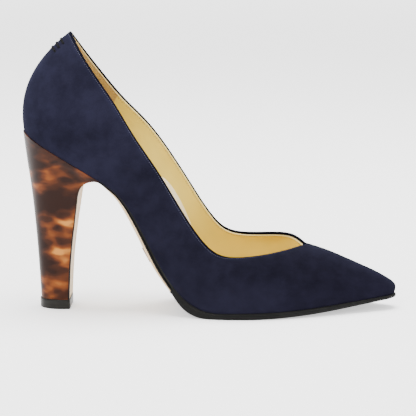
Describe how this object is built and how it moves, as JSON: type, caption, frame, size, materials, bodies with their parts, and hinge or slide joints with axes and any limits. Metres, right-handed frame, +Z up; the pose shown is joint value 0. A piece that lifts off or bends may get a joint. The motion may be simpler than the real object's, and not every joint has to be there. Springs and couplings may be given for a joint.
{
  "type": "high heel pump",
  "caption": "Pointed-toe court shoe for the right foot with a V throat, a steep arch and a tall tapered block heel.",
  "frame": {"origin": "on the floor under the middle of the shoe's length and width", "axes": "+X towards the toe, +Y towards the medial side (the other shoe), +Z up"},
  "size_m": [0.209, 0.0757, 0.1554],
  "materials": {
    "suede": "napped suede, dark navy",
    "fibre": "stiffened non-woven",
    "backer": "woven cotton",
    "grip_leather": "brushed tan",
    "lining_leather": "gold satin",
    "dark_tape": "matt",
    "cream_pad": "soft cream",
    "black_thread": "waxed thread",
    "fibreboard": "pressed fibre",
    "foam": "latex foam",
    "steel": "ribbed spring steel",
    "heel_plastic": "moulded",
    "tortoiseshell": "polished tortoiseshell",
    "top_rubber": "hard, satin",
    "sole_leather": "smooth beige, black painted edge",
    "sole_rubber": "matt black",
    "plaque_metal": "brushed, blank"
  },
  "bodies": {
    "root": {"upper_suede": "suede", "heel_counter": "fibre", "quarter_backer_lateral": "backer", "quarter_backer_medial": "backer", "topline_tape": "backer", "vamp_backer": "backer", "toe_puff": "fibre", "heel_grip_lining": "grip_leather", "quarter_lining_lateral": "lining_leather", "quarter_lining_medial": "lining_leather", "vamp_lining": "lining_leather", "back_tab": "dark_tape", "arch_pad": "cream_pad", "back_bar_tacks": "black_thread", "shank_board": "fibreboard", "insole_board": "fibreboard", "bottom_filler": "foam", "heel_foam_pad": "foam", "ball_foam_pad": "foam", "sock_lining": "lining_leather", "steel_shank": "steel", "shank_rivets": "steel", "heel_core": "heel_plastic", "heel_cover": "tortoiseshell", "top_piece": "top_rubber", "top_piece_dowels": "steel", "heel_screw": "steel", "heel_nails": "steel", "outsole_leather": "sole_leather", "forefoot_rubber_sole": "sole_rubber", "waist_plaque": "plaque_metal"}
  },
  "joints": []
}
